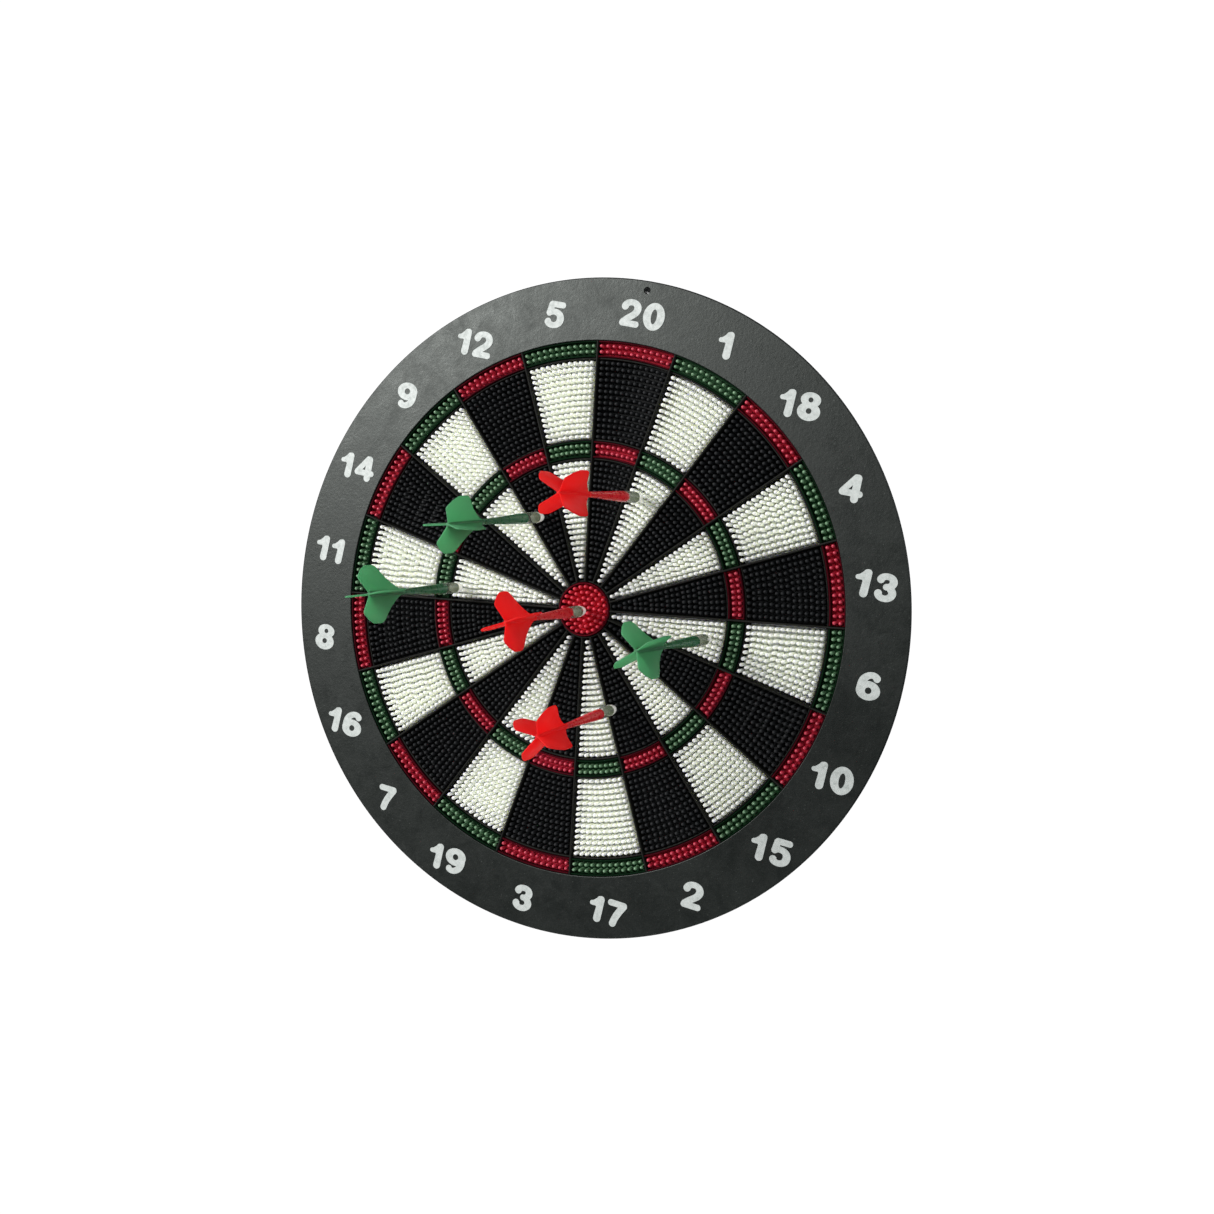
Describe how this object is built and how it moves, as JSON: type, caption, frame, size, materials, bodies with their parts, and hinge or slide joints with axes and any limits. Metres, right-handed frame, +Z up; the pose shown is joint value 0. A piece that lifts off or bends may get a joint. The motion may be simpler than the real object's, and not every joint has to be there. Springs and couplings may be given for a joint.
{
  "type": "safety dartboard with darts",
  "caption": "Round peg-face safety dartboard: numbered ring, divider grid, coloured peg pads, back cover, and soft-tip darts that pull straight out of the pegs.",
  "frame": {"origin": "centre of the board on the flat back, in the plane of the wall", "axes": "+Y into the wall, the face looks towards -Y, +Z up with the number 20 at the top, +X to the right seen from the front"},
  "size_m": [0.4167, 0.1501, 0.4166],
  "materials": {
    "ring_grey": "dull moulded grey",
    "numeral_ink": "printed off-white",
    "grid_plastic": "dark moulded",
    "black_pad": "satin",
    "white_pad": "satin",
    "red_pad": "satin",
    "green_pad": "satin",
    "cover_plastic": "fine texture",
    "screw_steel": "bright zinc",
    "clear_tip": "clear plastic",
    "red_barrel": "translucent",
    "green_barrel": "translucent",
    "red_flight": "satin",
    "green_flight": "satin"
  },
  "bodies": {
    "board": {"number_ring": "ring_grey", "numerals": "numeral_ink", "divider_grid": "grid_plastic", "inner_single_pads_black": "black_pad", "inner_single_pads_white": "white_pad", "treble_pads_red": "red_pad", "treble_pads_green": "green_pad", "outer_single_pads_black_right": "black_pad", "outer_single_pads_black_left": "black_pad", "outer_single_pads_white_right": "white_pad", "outer_single_pads_white_left": "white_pad", "double_pads_red": "red_pad", "double_pads_green": "green_pad", "bull_pad": "red_pad", "back_cover": "cover_plastic", "cover_screws": "screw_steel"},
    "green_dart_1": {"green_dart_1_tip": "clear_tip", "green_dart_1_barrel": "green_barrel", "green_dart_1_flight": "green_flight"},
    "green_dart_2": {"green_dart_2_tip": "clear_tip", "green_dart_2_barrel": "green_barrel", "green_dart_2_flight": "green_flight"},
    "green_dart_3": {"green_dart_3_tip": "clear_tip", "green_dart_3_barrel": "green_barrel", "green_dart_3_flight": "green_flight"},
    "red_dart_1": {"red_dart_1_tip": "clear_tip", "red_dart_1_barrel": "red_barrel", "red_dart_1_flight": "red_flight"},
    "red_dart_2": {"red_dart_2_tip": "clear_tip", "red_dart_2_barrel": "red_barrel", "red_dart_2_flight": "red_flight"},
    "red_dart_3": {"red_dart_3_tip": "clear_tip", "red_dart_3_barrel": "red_barrel", "red_dart_3_flight": "red_flight"}
  },
  "joints": [
    {"name": "green_dart_1_pull", "type": "slide", "parent": "board", "child": "green_dart_1", "axis": [-0.0249, -0.9971, -0.0718], "range_m": [0, 0.15]},
    {"name": "green_dart_2_pull", "type": "slide", "parent": "board", "child": "green_dart_2", "axis": [0.023, -0.9996, -0.017], "range_m": [0, 0.15]},
    {"name": "green_dart_3_pull", "type": "slide", "parent": "board", "child": "green_dart_3", "axis": [-0.006, -0.9999, -0.016], "range_m": [0, 0.15]},
    {"name": "red_dart_1_pull", "type": "slide", "parent": "board", "child": "red_dart_1", "axis": [-0.016, -0.9997, -0.019], "range_m": [0, 0.15]},
    {"name": "red_dart_2_pull", "type": "slide", "parent": "board", "child": "red_dart_2", "axis": [0.035, -0.9991, -0.022], "range_m": [0, 0.15]},
    {"name": "red_dart_3_pull", "type": "slide", "parent": "board", "child": "red_dart_3", "axis": [0.025, -0.9986, -0.0469], "range_m": [0, 0.15]}
  ]
}
